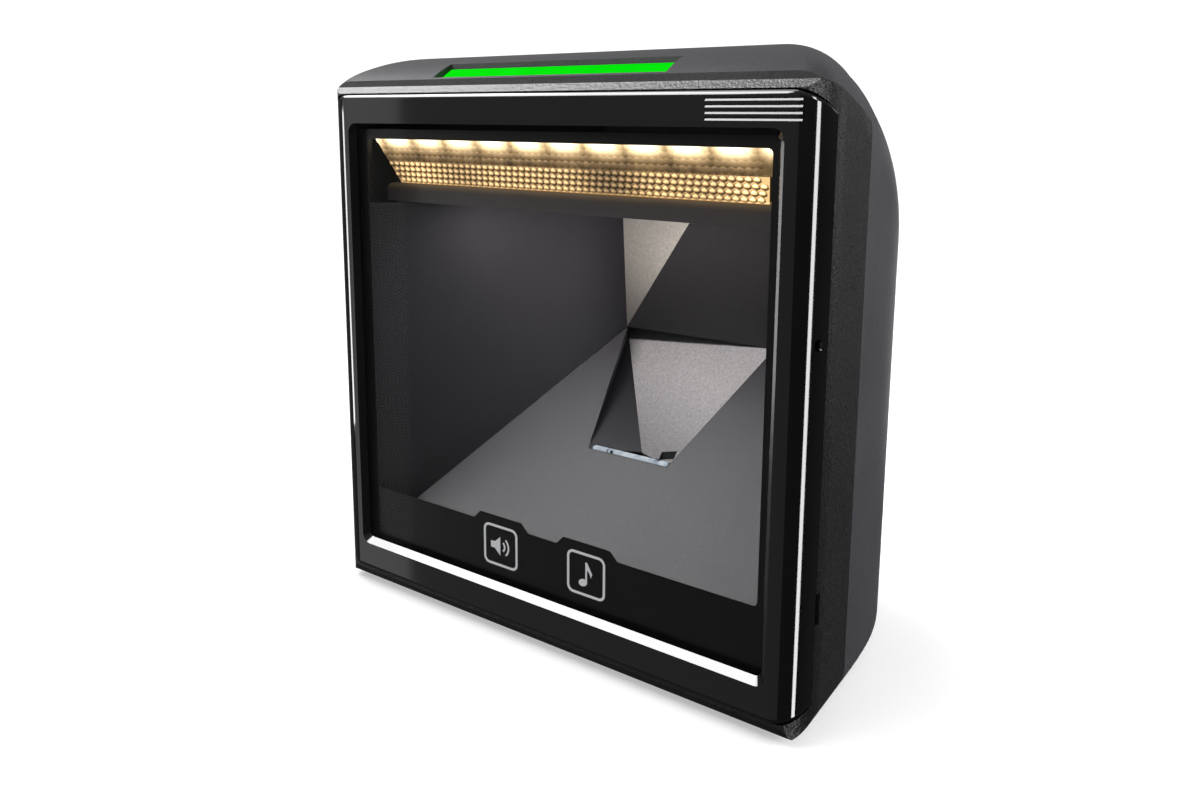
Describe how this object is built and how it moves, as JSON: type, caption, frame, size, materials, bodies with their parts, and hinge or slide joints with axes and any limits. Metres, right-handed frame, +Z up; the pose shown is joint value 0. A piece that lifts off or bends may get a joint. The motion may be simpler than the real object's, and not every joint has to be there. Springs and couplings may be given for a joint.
{
  "type": "presentation barcode scanner",
  "caption": "Upright hands-free barcode scanner with a large window, faceted optical chamber, light bar and top indicator",
  "frame": {"origin": "centre of the bounding box's underside, where the rubber feet rest", "axes": "+Z up, +X to the viewer's right when facing the window, the window faces -Y"},
  "size_m": [0.146, 0.08, 0.1532],
  "materials": {
    "gloss_black": "piano gloss moulded plastic",
    "textured_black": "spark-eroded grain moulded plastic",
    "satin_charcoal": "satin moulded plastic",
    "clear_glass": "hard coated clear",
    "black_ink": "screen printed border",
    "white_ink": "screen printed symbols",
    "black_rubber": "moulded",
    "baffle_black": "fine matt moulded plastic",
    "light_optic": "micro lens moulded optic",
    "shelf_black": "satin moulded plastic",
    "circuit_board": "solder mask over glass fibre",
    "warm_led": "phosphor coated",
    "green_lens": "translucent diffuser",
    "optical_glass": "polished edge",
    "black_aluminium": "black anodised",
    "sensor_black": "packaged silicon",
    "zinc_steel": "zinc plated sheet",
    "tin_plate": "tinned can",
    "ferrite": "moulded inductor",
    "brass_insert": "knurled",
    "label_silver": "blank film",
    "socket_black": "moulded nylon",
    "gold_contact": "gold flashed",
    "cone_paper": "coated paper",
    "flat_cable": "polyimide film"
  },
  "bodies": {
    "scanner": {"auxiliary_port": "tin_plate", "base_plate": "zinc_steel", "board_screws": "zinc_steel", "case_screws": "zinc_steel", "chamber_side": "baffle_black", "chassis_bracket": "zinc_steel", "connector_panel": "satin_charcoal", "floor_panel": "baffle_black", "front_bezel": "gloss_black", "front_housing": "textured_black", "image_sensor": "sensor_black", "imager_board": "circuit_board", "imager_cable": "flat_cable", "imager_glass": "optical_glass", "imager_holder": "baffle_black", "imager_lens": "black_aluminium", "imager_window": "optical_glass", "indicator_board": "circuit_board", "indicator_leds": "warm_led", "indicator_lens": "green_lens", "interface_jack": "socket_black", "jack_contacts": "gold_contact", "key_symbols": "white_ink", "led_board": "circuit_board", "led_emitters": "warm_led", "left_wall": "baffle_black", "light_bar": "light_optic", "light_cable": "flat_cable", "light_shelf": "shelf_black", "main_board": "circuit_board", "power_inductors": "ferrite", "processor_shield": "tin_plate", "rating_label": "label_silver", "rear_cover": "satin_charcoal", "recess_walls": "baffle_black", "rubber_feet": "black_rubber", "sound_mesh": "socket_black", "speaker_frame": "socket_black", "speaker_magnet": "zinc_steel", "stand_inserts": "brass_insert", "touch_board": "circuit_board", "upper_wall": "baffle_black", "window_border": "black_ink", "window_glass": "clear_glass", "window_seal": "black_rubber"},
    "speaker_cone": {"speaker_cone": "cone_paper"}
  },
  "joints": [
    {"name": "cone_travel", "type": "slide", "parent": "scanner", "child": "speaker_cone", "axis": [0, 1, 0], "range_m": [-0.0004, 0.0004], "stiffness_N_per_m": 400}
  ]
}
